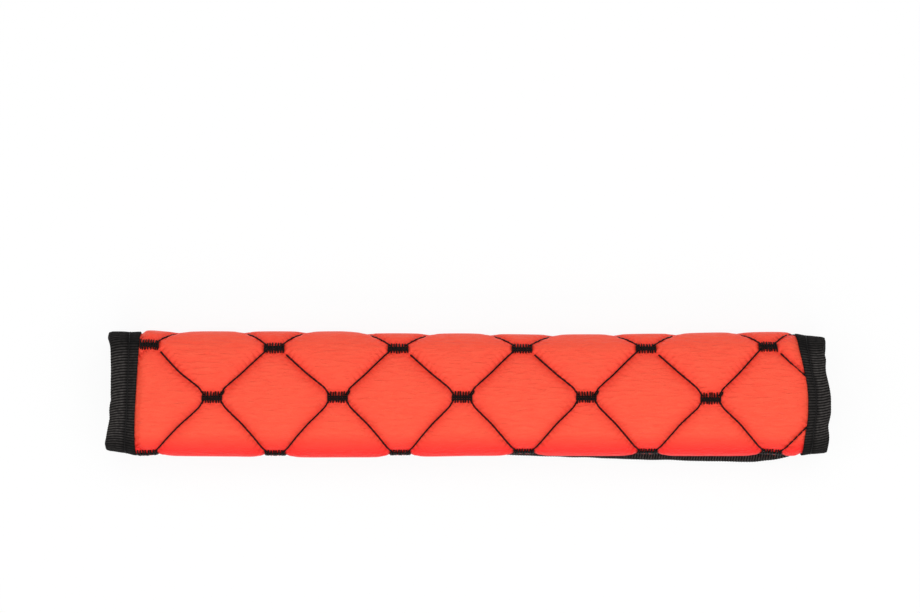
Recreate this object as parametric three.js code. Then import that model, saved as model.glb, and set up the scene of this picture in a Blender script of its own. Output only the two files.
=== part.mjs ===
// Seat belt shoulder pad: a quilted sheet of red faux leather over foam, lined in black, bound all round
// with folded black tape, and wrapped into a flat sleeve that closes underneath with hook and loop.
//
// The sheet is drawn flat, as it is cut, and then wrapped. A flat point is (x, s): x runs along the belt
// and s across the sheet, from the inner flap's edge to the outer flap's, with s = 0 at the middle row of
// bar tacks. A third value, t, is the height above the lining's inner face, towards the red face.
// Units are millimetres. +X is along the belt, +Z is up, and the pad lies on its outer flap at z = 0.

import * as THREE from "three";

// Overall size of the closed sleeve
const LENGTH = 341;
const FOLD_FRONT_Y = -27.8; // outermost point of the tight fold, where the inner flap turns in
const FOLD_BACK_Y = 30.8; // outermost point of the round fold
const FLAP_EDGE_Y = -27.6; // outer flap's bound edge at mid length
const FLAP_SKEW = 0.0225; // the outer flap is closed a little askew: its edge moves this much per mm of x
const CORNER_RADIUS = 26; // the sheet's four corners, seen flat

// Layers, as heights above the lining's inner face
const CLEARANCE = 0.3; // between layers and between pieces that rest on each other
const LINING = 0.6;
const FOAM = 1.2;
const SKIN_STITCHED = 0.9; // foam-backed faux leather where stitches draw it down
const PUFF_RISE = 2.8; // what the middle of a diamond stands above its stitches
const FOLD_PUFF = 1.7; // the same over the folds, where the foam is stretched
const FLOOR_PUFF = 1.3; // the same under the outer flap, pressed flat by the pad's weight

// Sleeve section
const PASSAGE_HEIGHT = 8; // between the inner flap's lining and the roof's lining, at the tight fold
const CROWN_RADIUS = 60;

// Quilting
const PITCH = 58.2; // between bar tacks along a row
const FRONT_ROW_STEP = 26.8; // between the middle row and the one on the tight fold, on the stitched face
const BACK_ROW_STEP = 23.5; // between the other rows, where the sheet was stretched less
const FIRST_TACK_X = -3.3; // a tack of the middle row
const MID_ROW_Y = 0.15;
const FIRST_ROW = -1; // rows of tacks are counted from the middle row: this one lies on the tight fold
const LAST_ROW = 3; // and this one on the outer flap, beside its tape
const TACK_LENGTH = 9;
const TACK_WIDTH = 4.4;
const TACK_THICKNESS = 0.6;
const THREAD_WIDTH = 0.9;
const THREAD_THICKNESS = 0.5;
const FACETS_BETWEEN_TACKS = 3;
const PUFF_SHOULDER = 16; // a diamond reaches its full height this far in from its stitches
const PUFF_FULLNESS = 0.8; // below 1, a diamond rises more steeply beside its stitches
const EDGE_SHOULDER = 12; // and this far in from the tape

// Edge tape and hook and loop strips
const TAPE_WIDTH = 13; // seen on each face, once folded over the edge
const TAPE_THICKNESS = 0.8;
const STRIP_WIDTH = 16;
const STRIP_THICKNESS = 1;
const STRIP_GAP = 0.2; // between the two strips, pressed together
const STRIP_END_MARGIN = 24; // from the pad's end to the strip's end
const STRIP_EDGE_MARGIN = 1; // from the outer flap's tape to the strips' side

// Facet sizes
const CORNER_FACETS = 6;
const TAPE_FACET = 24;
const SHORTEST_FACET = 1; // stops along the tape keep this far from its corners
const SNAP = 0.02; // a flat point nearer than this to a cut is taken to lie on it
const SAME_STOP = 0.01; // stops this near to a stitch run's ends, as a share of the run, are left out

// The sheet ends this far inside the tape's outside.
const EDGE_INSET = TAPE_THICKNESS + CLEARANCE;

// The hook strip lies beside the outer flap's tape, and the inner flap reaches past the strips to its own.
const STRIPS_FRONT_Y = FLAP_EDGE_Y + EDGE_INSET + TAPE_WIDTH + STRIP_EDGE_MARGIN;
const INNER_FLAP_Y = STRIPS_FRONT_Y + STRIP_WIDTH + STRIP_EDGE_MARGIN + TAPE_WIDTH + EDGE_INSET;

// Heights that follow from the layers
const FOAM_T = LINING + CLEARANCE;
const SKIN_T = FOAM_T + FOAM + CLEARANCE;
const STITCHED_T = SKIN_T + SKIN_STITCHED;
const FLOOR_T = STITCHED_T + FLOOR_PUFF;
const FOLD_T = STITCHED_T + FOLD_PUFF;

// Levels of the lining's inner face in the two flaps
const OUTER_FLAP_Z = FLOOR_T;
const STRIPS_STACK = 2 * STRIP_THICKNESS + STRIP_GAP + 2 * CLEARANCE;
const INNER_FLAP_Z = OUTER_FLAP_Z + STRIPS_STACK + STITCHED_T;

// The section is a chain of stretches that touch: inner flap, tight fold, crowned roof, round fold and
// outer flap. Each round stretch turns clockwise, and its length is measured on the stitched face.
function makeSection() {
  const tight = {};
  tight.radius = PASSAGE_HEIGHT / 2;
  tight.y = FOLD_FRONT_Y + FOLD_T + tight.radius;
  tight.z = INNER_FLAP_Z + tight.radius;
  const round = {};
  round.radius = (INNER_FLAP_Z + PASSAGE_HEIGHT - OUTER_FLAP_Z) / 2;
  round.y = FOLD_BACK_Y - FOLD_T - round.radius;
  round.z = OUTER_FLAP_Z + round.radius;

  // The crown's centre lies where it touches both folds from outside.
  const toTight = CROWN_RADIUS - tight.radius;
  const toRound = CROWN_RADIUS - round.radius;
  const dy = round.y - tight.y;
  const dz = round.z - tight.z;
  const span = Math.hypot(dy, dz);
  const along = (span * span + toTight * toTight - toRound * toRound) / (2 * span);
  const down = Math.sqrt(toTight * toTight - along * along);
  const crown = { radius: CROWN_RADIUS };
  crown.y = tight.y + (dy * along + dz * down) / span;
  crown.z = tight.z + (dz * along - dy * down) / span;

  const bottom = -Math.PI / 2;
  const crownStart = Math.atan2(tight.z - crown.z, tight.y - crown.y);
  const crownEnd = Math.atan2(round.z - crown.z, round.y - crown.y);
  const arcs = [
    { ...tight, from: bottom + 2 * Math.PI, to: crownStart },
    { ...crown, from: crownStart, to: crownEnd },
    { ...round, from: crownEnd, to: bottom },
  ];
  const midAngle = Math.acos((MID_ROW_Y - crown.y) / (crown.radius + STITCHED_T));
  let s = -(crown.radius + STITCHED_T) * (crownStart - midAngle)
    - (tight.radius + STITCHED_T) * (arcs[0].from - arcs[0].to);
  for (const arc of arcs) {
    arc.start = s;
    s += (arc.radius + STITCHED_T) * (arc.from - arc.to);
    arc.end = s;
  }
  return arcs;
}

const ARCS = makeSection();
const [TIGHT_FOLD, CROWN, ROUND_FOLD] = ARCS;
const INNER_EDGE_S = TIGHT_FOLD.start - (INNER_FLAP_Y - EDGE_INSET - TIGHT_FOLD.y);
const OUTER_EDGE_S = ROUND_FOLD.end + (ROUND_FOLD.y - FLAP_EDGE_Y - EDGE_INSET);
const HALF_LENGTH = LENGTH / 2 - EDGE_INSET;
const MID_S = (INNER_EDGE_S + OUTER_EDGE_S) / 2;

// Wraps a flat point into place.
function wrap(x, s, t) {
  for (const arc of ARCS) {
    if (s >= arc.start && s <= arc.end) {
      const angle = arc.from - (s - arc.start) / (arc.radius + STITCHED_T);
      const reach = arc.radius + t;
      return [x, arc.y + reach * Math.cos(angle), arc.z + reach * Math.sin(angle)];
    }
  }
  if (s < TIGHT_FOLD.start) return [x, TIGHT_FOLD.y + TIGHT_FOLD.start - s, INNER_FLAP_Z - t];
  const out = s - ROUND_FOLD.end;
  const askew = (FLAP_SKEW * x * out) / (OUTER_EDGE_S - ROUND_FOLD.end);
  return [x, ROUND_FOLD.y - out - askew, OUTER_FLAP_Z - t];
}

// Quilting lines, evenly spaced across each gap between two tacks, along either direction.
function quiltLines(low, high, first, step, tackSize) {
  const lines = [];
  const run = step - tackSize;
  for (let k = Math.floor((low - first) / step) - 1; k <= (high - first) / step + 1; k++) {
    for (let i = 0; i <= FACETS_BETWEEN_TACKS; i++) {
      const line = first + k * step + tackSize / 2 + (run * i) / FACETS_BETWEEN_TACKS;
      if (line > low && line < high) lines.push(line);
    }
  }
  return lines;
}

// Rows of tacks and the quilting lines between them, across the sheet.
const rowStep = (s) => (s < 0 ? FRONT_ROW_STEP : BACK_ROW_STEP);
const rowPlace = (row) => row * rowStep(row);
const rowLines = (low, high) => [
  ...quiltLines(low, 0, 0, FRONT_ROW_STEP, TACK_WIDTH),
  ...quiltLines(0, high, 0, BACK_ROW_STEP, TACK_WIDTH),
];

const inFold = (s) => [TIGHT_FOLD, ROUND_FOLD].some((fold) => s > fold.start && s < fold.end);

// The lines of s where the wrapped sheet is creased, so that every layer bends in the same places. They
// are the quilting lines and the flaps' sides, and halfway between two of them in the folds.
function creases() {
  const lines = [TIGHT_FOLD.start, ...rowLines(TIGHT_FOLD.start, ROUND_FOLD.end), ROUND_FOLD.end];
  return lines.flatMap((s, i) => {
    const next = lines[i + 1];
    const bent = next !== undefined && (inFold(s) || inFold(next));
    return bent ? [s, (s + next) / 2] : [s];
  });
}

const smooth = (v) => {
  const c = Math.min(1, Math.max(0, v));
  return c * c * (3 - 2 * c);
};

// Distance of a value from the nearest even multiple of a step, from 0 to one step.
function foldedTo(value, step) {
  const turns = (value + step) / (2 * step);
  return Math.abs((turns - Math.floor(turns)) * 2 * step - step);
}

// How far a flat point lies inside the diamond that it is in, from its stitches and its tacks' sides.
function insideDiamond(x, s) {
  const halfPitch = PITCH / 2;
  const a = foldedTo(x - FIRST_TACK_X, halfPitch);
  const b = foldedTo(s, rowStep(s));
  const runX = halfPitch - TACK_LENGTH;
  const runS = rowStep(s) - TACK_WIDTH;
  const across = (a - TACK_LENGTH / 2) * runS - (b - TACK_WIDTH / 2) * runX;
  const side = across / Math.hypot(runX, runS);
  const toTacks = side > 0
    ? Math.min(a - TACK_LENGTH / 2, rowStep(s) - TACK_WIDTH / 2 - b)
    : Math.min(b - TACK_WIDTH / 2, halfPitch - TACK_LENGTH / 2 - a);
  return Math.max(0, Math.min(Math.abs(side), toTacks));
}

// How far a flat point lies inside the tape's inner edge. In a corner a facet's width is kept flat too.
function insideTape(x, s) {
  const toEnd = HALF_LENGTH - TAPE_WIDTH - CLEARANCE - Math.abs(x);
  const toSide = Math.min(s - INNER_EDGE_S, OUTER_EDGE_S - s) - TAPE_WIDTH - CLEARANCE;
  const innerRadius = CORNER_RADIUS - TAPE_WIDTH - CLEARANCE;
  const outX = innerRadius - toEnd;
  const outS = innerRadius - toSide;
  const cornerFacet = FRONT_ROW_STEP / FACETS_BETWEEN_TACKS;
  const inCorner = outX > 0 && outS > 0;
  const toCorner = inCorner ? innerRadius - Math.hypot(outX, outS) - cornerFacet : Infinity;
  return Math.max(0, Math.min(toEnd, toSide, toCorner));
}

// The most that a puff may stand up at s: none inside the sleeve, little over the folds, all on the roof.
function puffLimit(s) {
  if (s < TIGHT_FOLD.start) return 0;
  if (s > ROUND_FOLD.end) return FLOOR_PUFF;
  const onCrown = Math.min(s - CROWN.start, CROWN.end - s);
  const free = FOLD_PUFF + (PUFF_RISE - FOLD_PUFF) * smooth(onCrown / EDGE_SHOULDER + 0.5);
  const toInner = smooth((s - TIGHT_FOLD.start) / (TIGHT_FOLD.radius + STITCHED_T));
  const toFloor = smooth((ROUND_FOLD.end - s) / (ROUND_FOLD.radius + STITCHED_T));
  return Math.min(free * toInner, FLOOR_PUFF + (free - FLOOR_PUFF) * toFloor);
}

// Height of the red face.
function redFace(x, s) {
  const puff = Math.sin((Math.PI / 2) * Math.min(1, insideDiamond(x, s) / PUFF_SHOULDER)) ** PUFF_FULLNESS;
  const edge = Math.sin((Math.PI / 2) * Math.min(1, insideTape(x, s) / EDGE_SHOULDER));
  return STITCHED_T + Math.min(PUFF_RISE * puff * edge, puffLimit(s));
}

// A flat grid whose diagonals run along the stitches, so that every stitch lies on edges of the mesh.
function quiltGrid() {
  const inside = quiltLines(-HALF_LENGTH, HALF_LENGTH, FIRST_TACK_X, PITCH / 2, TACK_LENGTH);
  const xs = [-HALF_LENGTH, ...inside, HALF_LENGTH];
  const ss = [INNER_EDGE_S, TIGHT_FOLD.start, ...rowLines(TIGHT_FOLD.start, OUTER_EDGE_S), OUTER_EDGE_S];
  const triangles = [];
  for (let i = 0; i + 1 < xs.length; i++) {
    for (let j = 0; j + 1 < ss.length; j++) {
      const [p, q] = [xs[i], xs[i + 1]];
      const [r, u] = [ss[j], ss[j + 1]];
      const column = Math.floor(((p + q) / 2 - FIRST_TACK_X) / (PITCH / 2));
      const row = Math.floor((r + u) / 2 / rowStep(r + u));
      const rising = (column + row) % 2 === 0;
      if (rising) triangles.push([[p, r], [q, r], [q, u]], [[p, r], [q, u], [p, u]]);
      else triangles.push([[p, r], [q, r], [p, u]], [[q, r], [q, u], [p, u]]);
    }
  }
  return triangles;
}

// Splits triangles along the line a x + b s = c, and keeps the side below it alone if only is true.
function split(triangles, [a, b, c], only) {
  const kept = [];
  const beyond = (p) => {
    const v = a * p[0] + b * p[1] - c;
    return Math.abs(v) < SNAP ? 0 : v;
  };
  const cross = (p, q) => {
    const [m, n] = p[0] < q[0] || (p[0] === q[0] && p[1] < q[1]) ? [p, q] : [q, p];
    const f = beyond(m) / (beyond(m) - beyond(n));
    return [m[0] + (n[0] - m[0]) * f, m[1] + (n[1] - m[1]) * f];
  };
  for (const triangle of triangles) {
    const below = [];
    const above = [];
    triangle.forEach((p, i) => {
      const q = triangle[(i + 1) % 3];
      const [vp, vq] = [beyond(p), beyond(q)];
      if (vp <= 0) below.push(p);
      if (vp >= 0) above.push(p);
      if (vp * vq < 0) {
        const r = cross(p, q);
        below.push(r);
        above.push(r);
      }
    });
    const inside = triangle.every((p) => beyond(p) <= 0);
    const outside = triangle.every((p) => beyond(p) >= 0);
    if (inside) kept.push(triangle);
    else if (outside) {
      if (!only) kept.push(triangle);
    } else {
      for (const part of only ? [below] : [below, above]) {
        for (let i = 1; i + 1 < part.length; i++) kept.push([part[0], part[i], part[i + 1]]);
      }
    }
  }
  return kept;
}

// The sheet's outline, anticlockwise, as {x, s, nx, ns} with the normal pointing inwards.
function outline(extraStops) {
  const points = [];
  const centreX = HALF_LENGTH - CORNER_RADIUS;
  const centres = [
    [centreX, OUTER_EDGE_S - CORNER_RADIUS, 0],
    [-centreX, OUTER_EDGE_S - CORNER_RADIUS, 1],
    [-centreX, INNER_EDGE_S + CORNER_RADIUS, 2],
    [centreX, INNER_EDGE_S + CORNER_RADIUS, 3],
  ];
  for (const [cx, cs, quarter] of centres) {
    for (let i = 0; i <= CORNER_FACETS; i++) {
      const angle = (quarter + i / CORNER_FACETS) * (Math.PI / 2);
      const [nx, ns] = [-Math.cos(angle), -Math.sin(angle)];
      points.push({ x: cx - CORNER_RADIUS * nx, s: cs - CORNER_RADIUS * ns, nx, ns });
    }
    const last = points[points.length - 1];
    const next = centres[(quarter + 1) % 4];
    const stops = extraStops ? extraStops(last, next) : [];
    for (const [x, s] of stops) points.push({ x, s, nx: last.nx, ns: last.ns });
  }
  return points;
}

function cutToOutline(triangles) {
  const points = outline();
  let kept = triangles;
  points.forEach((p, i) => {
    const q = points[(i + 1) % points.length];
    const [dx, ds] = [q.x - p.x, q.s - p.s];
    const length = Math.hypot(dx, ds);
    const [a, b] = [ds / length, -dx / length];
    kept = split(kept, [a, b, a * p.x + b * p.s], true);
  });
  return kept;
}

// The red face's flat triangles: the quilting grid, creased at the folds and along the tape, and cut to
// the outline.
function redTriangles() {
  let triangles = quiltGrid();
  for (const line of creases()) triangles = split(triangles, [0, 1, line], false);
  const tapeX = HALF_LENGTH - TAPE_WIDTH - CLEARANCE;
  const tapeIn = TAPE_WIDTH + CLEARANCE;
  for (const x of [-tapeX, tapeX]) triangles = split(triangles, [1, 0, x], false);
  const tapeS = [INNER_EDGE_S + tapeIn, OUTER_EDGE_S - tapeIn];
  for (const s of tapeS) triangles = split(triangles, [0, 1, s], false);
  return cutToOutline(triangles);
}

// Plain flat triangles for the smooth layers, in strips between the creases.
function plainTriangles() {
  const x = HALF_LENGTH;
  const ss = [INNER_EDGE_S, ...creases(), OUTER_EDGE_S];
  const strips = ss.slice(1).flatMap((high, i) => {
    const low = ss[i];
    return [[[-x, low], [x, low], [x, high]], [[-x, low], [x, high], [-x, high]]];
  });
  return cutToOutline(strips);
}

const keyOf = (p) => Math.round(p[0] * 1000) + "," + Math.round(p[1] * 1000);

// The rim of a flat triangle list, in order round the sheet's middle.
function rim(triangles) {
  const edges = new Map();
  for (const triangle of triangles) {
    triangle.forEach((p, i) => {
      const q = triangle[(i + 1) % 3];
      const back = keyOf(q) + ";" + keyOf(p);
      if (edges.has(back)) edges.delete(back);
      else edges.set(keyOf(p) + ";" + keyOf(q), p);
    });
  }
  const angleOf = (p) => Math.atan2(p[1] - MID_S, p[0]);
  return [...edges.values()].map((p) => ({ p, angle: angleOf(p) })).sort((m, n) => m.angle - n.angle);
}

function geometryFrom(corners) {
  const geometry = new THREE.BufferGeometry();
  geometry.setAttribute("position", new THREE.Float32BufferAttribute(corners.flat(), 3));
  geometry.computeVertexNormals();
  return geometry;
}

// A closed sheet between two faces, each a flat triangle list with its own height, and a wall round both.
function sheet(faceTriangles, faceT, backTriangles, backT) {
  const corners = [];
  const face = (p) => wrap(p[0], p[1], faceT(p[0], p[1]));
  const back = (p) => wrap(p[0], p[1], backT(p[0], p[1]));
  for (const [p, q, r] of faceTriangles) corners.push(face(p), face(q), face(r));
  for (const [p, q, r] of backTriangles) corners.push(back(r), back(q), back(p));
  const upper = rim(faceTriangles);
  const lower = rim(backTriangles);
  let [i, j] = [0, 0];
  while (i < upper.length || j < lower.length) {
    const p = upper[i % upper.length];
    const q = lower[j % lower.length];
    const nextP = upper[(i + 1) % upper.length];
    const nextQ = lower[(j + 1) % lower.length];
    const turnP = nextP.angle + (i + 1 >= upper.length ? 2 * Math.PI : 0);
    const turnQ = nextQ.angle + (j + 1 >= lower.length ? 2 * Math.PI : 0);
    if (j >= lower.length || (i < upper.length && turnP <= turnQ)) {
      corners.push(face(nextP.p), face(p.p), back(q.p));
      i++;
    } else {
      corners.push(back(q.p), back(nextQ.p), face(p.p));
      j++;
    }
  }
  return geometryFrom(corners);
}

// A closed ring or bar: rows of points, one section each, joined in order, with ends if it isn't a ring.
function loft(rows, closed) {
  const corners = [];
  const count = rows[0].length;
  const last = closed ? rows.length : rows.length - 1;
  for (let i = 0; i < last; i++) {
    const [here, next] = [rows[i], rows[(i + 1) % rows.length]];
    for (let k = 0; k < count; k++) {
      const m = (k + 1) % count;
      corners.push(here[k], next[k], next[m], here[k], next[m], here[m]);
    }
  }
  if (!closed) {
    const [first, end] = [rows[0], rows[rows.length - 1]];
    for (let k = 1; k + 1 < count; k++) {
      corners.push(first[0], first[k], first[k + 1], end[0], end[k + 1], end[k]);
    }
  }
  return geometryFrom(corners);
}

// Folded tape round the whole edge. Its section is a U that closes on the sheet's edge.
function bindingGeometry() {
  const top = STITCHED_T + CLEARANCE + TAPE_THICKNESS;
  const bottom = -CLEARANCE - TAPE_THICKNESS;
  const bend = TAPE_THICKNESS;
  const section = [
    [TAPE_WIDTH, top],
    [0, top],
    [-EDGE_INSET, top - bend],
    [-EDGE_INSET, bottom + bend],
    [0, bottom],
    [TAPE_WIDTH, bottom],
    [TAPE_WIDTH, bottom + TAPE_THICKNESS],
    [-CLEARANCE, bottom + TAPE_THICKNESS],
    [-CLEARANCE, top - TAPE_THICKNESS],
    [TAPE_WIDTH, top - TAPE_THICKNESS],
  ];
  const bends = creases();
  const stops = (last, next) => {
    if (Math.abs(last.nx) < Math.abs(last.ns)) {
      const run = HALF_LENGTH - CORNER_RADIUS;
      const count = Math.round((2 * run) / TAPE_FACET);
      const shares = Array.from({ length: count - 1 }, (_, i) => (i + 1) / count);
      return shares.map((share) => [last.x * (1 - 2 * share), last.s]);
    }
    const towards = Math.sign(next[1] - last.s);
    const clear = (s) => Math.min((s - last.s) * towards, (next[1] - s) * towards) > SHORTEST_FACET;
    return bends.filter(clear).sort((m, n) => (m - n) * towards).map((s) => [last.x, s]);
  };
  const rows = outline(stops).map(({ x, s, nx, ns }) =>
    section.map(([inward, t]) => wrap(x + nx * inward, s + ns * inward, t)));
  return loft(rows.reverse(), true);
}

// The corners of the line of quilting that runs to and fro between one row of tacks and the next.
function zigzagCorners(row) {
  const corners = [];
  const halfPitch = PITCH / 2;
  const reach = HALF_LENGTH - TAPE_WIDTH - CLEARANCE - THREAD_WIDTH / 2;
  const first = Math.floor((-reach - FIRST_TACK_X) / halfPitch) - 1;
  const last = Math.ceil((reach - FIRST_TACK_X) / halfPitch) + 1;
  for (let k = first; k <= last; k++) {
    const x = FIRST_TACK_X + k * halfPitch;
    const onLowerRow = (((k + row) % 2) + 2) % 2 === 0;
    const s = onLowerRow ? rowPlace(row) + TACK_WIDTH / 2 : rowPlace(row + 1) - TACK_WIDTH / 2;
    corners.push([x - TACK_LENGTH / 2, s], [x + TACK_LENGTH / 2, s]);
  }
  return corners;
}

// A run of thread along flat corners, within limits, with stops wherever the sheet under it bends.
function threadPath(corners, keep) {
  const bends = creases();
  const path = [];
  for (let i = 0; i + 1 < corners.length; i++) {
    const [p, q] = [corners[i], corners[i + 1]];
    const fractions = new Set([0]);
    if (p[1] !== q[1]) {
      for (let k = 1; k < FACETS_BETWEEN_TACKS; k++) fractions.add(k / FACETS_BETWEEN_TACKS);
      for (const s of bends) {
        const f = (s - p[1]) / (q[1] - p[1]);
        if (f > SAME_STOP && f < 1 - SAME_STOP) fractions.add(f);
      }
    }
    for (const f of [...fractions].sort((m, n) => m - n)) {
      path.push([p[0] + (q[0] - p[0]) * f, p[1] + (q[1] - p[1]) * f]);
    }
  }
  path.push(corners[corners.length - 1]);
  return trim(path, keep);
}

// Cuts a path to the part where keep(point) is above zero, with its ends on that limit.
function trim(path, keep) {
  const kept = [];
  for (let i = 0; i < path.length; i++) {
    const [here, before] = [keep(path[i]), i ? keep(path[i - 1]) : NaN];
    if (here * before < 0) {
      const f = before / (before - here);
      kept.push(path[i].map((v, axis) => path[i - 1][axis] + (v - path[i - 1][axis]) * f));
    }
    if (here > 0) kept.push(path[i]);
  }
  return kept;
}

// Thread laid in its groove. Its section comes to a ridge underneath, so that it sits between two puffs.
function threadGeometry(path) {
  const low = STITCHED_T + CLEARANCE;
  const rows = path.map((p, i) => {
    const before = path[Math.max(0, i - 1)];
    const after = path[Math.min(path.length - 1, i + 1)];
    const length = Math.hypot(after[0] - before[0], after[1] - before[1]);
    const [nx, ns] = [-(after[1] - before[1]) / length, (after[0] - before[0]) / length];
    const half = THREAD_WIDTH / 2;
    return [
      wrap(p[0], p[1], low),
      wrap(p[0] - nx * half, p[1] - ns * half, low + THREAD_THICKNESS),
      wrap(p[0] + nx * half, p[1] + ns * half, low + THREAD_THICKNESS),
    ];
  });
  return loft(rows, false);
}

// A bar tack: a low block of close stitches between the two lines of quilting that meet there.
function tackGeometry(x, row) {
  const s = rowPlace(row);
  const halfX = TACK_LENGTH / 2 - CLEARANCE;
  const halfS = (TACK_WIDTH - THREAD_WIDTH) / 2 - CLEARANCE;
  const [low, high] = [STITCHED_T + CLEARANCE, STITCHED_T + CLEARANCE + TACK_THICKNESS];
  const bends = creases().filter((line) => Math.abs(line - s) < halfS - CLEARANCE);
  const stops = [s - halfS, ...bends, s + halfS];
  const rows = stops.map((stop) => [
    wrap(x - halfX, stop, low),
    wrap(x + halfX, stop, low),
    wrap(x + halfX, stop, high),
    wrap(x - halfX, stop, high),
  ]);
  return loft(rows, false);
}

// A flat strip of hook or loop tape between two heights, along the sheet.
function stripGeometry(fromS, toS, low, high) {
  const halfX = LENGTH / 2 - STRIP_END_MARGIN;
  const rows = [toS, fromS].map((s) => [
    wrap(-halfX, s, high),
    wrap(halfX, s, high),
    wrap(halfX, s, low),
    wrap(-halfX, s, low),
  ]);
  return loft(rows, false);
}

const MATERIALS = {
  red: new THREE.MeshStandardMaterial({ color: 0xf4402f, roughness: 0.55, metalness: 0 }),
  foam: new THREE.MeshStandardMaterial({ color: 0xd9d4c4, roughness: 0.95, metalness: 0 }),
  lining: new THREE.MeshStandardMaterial({ color: 0x17171a, roughness: 0.9, metalness: 0 }),
  tape: new THREE.MeshStandardMaterial({ color: 0x1b1a1c, roughness: 0.85, metalness: 0 }),
  thread: new THREE.MeshStandardMaterial({ color: 0x120d0f, roughness: 0.6, metalness: 0 }),
  strip: new THREE.MeshStandardMaterial({ color: 0x141416, roughness: 0.95, metalness: 0 }),
};

const pad = new THREE.Group();

function add(name, geometry, material) {
  const mesh = new THREE.Mesh(geometry, material);
  mesh.name = name;
  pad.add(mesh);
}

const plain = plainTriangles();
add("quilted_cover", sheet(redTriangles(), redFace, plain, () => SKIN_T), MATERIALS.red);
add("foam_padding", sheet(plain, () => SKIN_T - CLEARANCE, plain, () => FOAM_T), MATERIALS.foam);
add("inner_lining", sheet(plain, () => LINING, plain, () => 0), MATERIALS.lining);
add("edge_binding", bindingGeometry(), MATERIALS.tape);

// The hook strip is sewn to the outer flap's lining. The loop strip faces it, on the inner flap's red side.
const hookTo = ROUND_FOLD.end + (ROUND_FOLD.y - STRIPS_FRONT_Y);
const hookLow = -CLEARANCE - STRIP_THICKNESS;
add("hook_strip", stripGeometry(hookTo - STRIP_WIDTH, hookTo, hookLow, -CLEARANCE), MATERIALS.strip);
const loopTo = TIGHT_FOLD.start - (STRIPS_FRONT_Y - TIGHT_FOLD.y);
const loopLow = STITCHED_T + CLEARANCE;
const loopHigh = loopLow + STRIP_THICKNESS;
add("loop_strip", stripGeometry(loopTo - STRIP_WIDTH, loopTo, loopLow, loopHigh), MATERIALS.strip);

// One line of quilting fills each gap between two rows of tacks, on the outside of the sleeve.
const tapeLimit = (p) => Math.min(
  HALF_LENGTH - TAPE_WIDTH - CLEARANCE - THREAD_WIDTH - Math.abs(p[0]),
  OUTER_EDGE_S - TAPE_WIDTH - CLEARANCE - THREAD_WIDTH - p[1],
);
for (let row = FIRST_ROW; row < LAST_ROW; row++) {
  const path = threadPath(zigzagCorners(row), tapeLimit);
  add("quilt_line_" + (row - FIRST_ROW + 1), threadGeometry(path), MATERIALS.thread);
}

// The tacks stand in rows, every other row half a pitch along, as far as the tape at each end.
const tackReach = HALF_LENGTH - TAPE_WIDTH - CLEARANCE - TACK_LENGTH / 2;
for (let row = FIRST_ROW; row <= LAST_ROW; row++) {
  const start = FIRST_TACK_X + (row % 2 === 0 ? 0 : PITCH / 2);
  const first = Math.ceil((-tackReach - start) / PITCH);
  const last = Math.floor((tackReach - start) / PITCH);
  for (let k = first; k <= last; k++) {
    const name = "bar_tack_" + (row - FIRST_ROW + 1) + "_" + (k - first + 1);
    add(name, tackGeometry(start + k * PITCH, row), MATERIALS.thread);
  }
}

export default pad;
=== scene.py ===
# %% [markdown]
# # A quilted seat belt shoulder pad
#
# The pad is one flat sheet of sewn layers: red faux leather, thin foam and a black lining, bound all round
# with black ribbed tape. It is wrapped into a sleeve and closes underneath with hook and loop strips.
# We build each layer flat, as a sewing room does, and wrap it at the end. That keeps the quilting, the
# stitches and the grain true to the sheet, and they bend with it.

# %% Load the frame
import math

import bmesh
import bpy
import numpy as np
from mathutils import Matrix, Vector


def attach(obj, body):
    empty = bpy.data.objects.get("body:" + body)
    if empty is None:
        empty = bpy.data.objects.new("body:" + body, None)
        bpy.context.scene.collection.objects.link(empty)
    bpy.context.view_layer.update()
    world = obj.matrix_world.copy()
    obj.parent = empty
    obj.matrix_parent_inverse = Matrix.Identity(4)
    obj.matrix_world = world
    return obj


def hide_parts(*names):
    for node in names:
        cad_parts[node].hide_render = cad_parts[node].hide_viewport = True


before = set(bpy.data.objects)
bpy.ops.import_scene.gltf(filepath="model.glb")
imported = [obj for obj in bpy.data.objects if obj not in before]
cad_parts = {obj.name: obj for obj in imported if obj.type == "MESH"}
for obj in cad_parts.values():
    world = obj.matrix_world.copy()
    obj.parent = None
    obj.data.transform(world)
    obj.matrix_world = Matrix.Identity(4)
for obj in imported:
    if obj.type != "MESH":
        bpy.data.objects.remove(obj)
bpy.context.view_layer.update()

# %% [markdown]
# ## The view and the light
#
# The photograph looks straight down on a white table, so the camera does too, through a long lens. The table
# is white only to the camera: a Light Path node shows white to camera rays, and a plain grey floor under it
# catches the shadow. Four soft lamps give the leather its gentle highlights.
#
# Every material here is a tree of nodes. One helper adds a node: it links an input that is given as another
# node or as a socket, and sets any other input to the value.

# %% Camera straight above
MM = 0.001
PHOTO_WIDE = 920  # pixels
MM_PER_PIXEL = 0.47
VIEW_CENTRE = Vector((-4.2, 42.6, 20.0)) * MM
LENS_HEIGHT = 1.25  # metres above the pad, so that its sides hardly show


def add_camera():
    data = bpy.data.cameras.new("camera")
    data.sensor_width = 36.0
    data.lens = data.sensor_width * LENS_HEIGHT / (PHOTO_WIDE * MM_PER_PIXEL * MM)
    data.clip_end = 10.0
    camera = bpy.data.objects.new("camera", data)
    camera.location = VIEW_CENTRE + Vector((0, 0, LENS_HEIGHT))
    bpy.context.scene.collection.objects.link(camera)
    bpy.context.scene.camera = camera
    return camera


camera = add_camera()
bpy.context.scene.view_settings.view_transform = "Standard"
print("lens:", round(camera.data.lens, 1), "mm")

# %% Node helpers
def node(tree, kind, inputs=None, **settings):
    made = tree.nodes.new(kind)
    for key, value in settings.items():
        setattr(made, key, value)
    for key, value in (inputs or {}).items():
        if isinstance(value, bpy.types.Node):
            value = value.outputs[0]
        if isinstance(value, bpy.types.NodeSocket):
            tree.links.new(value, made.inputs[key])
        else:
            made.inputs[key].default_value = value
    return made


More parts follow.
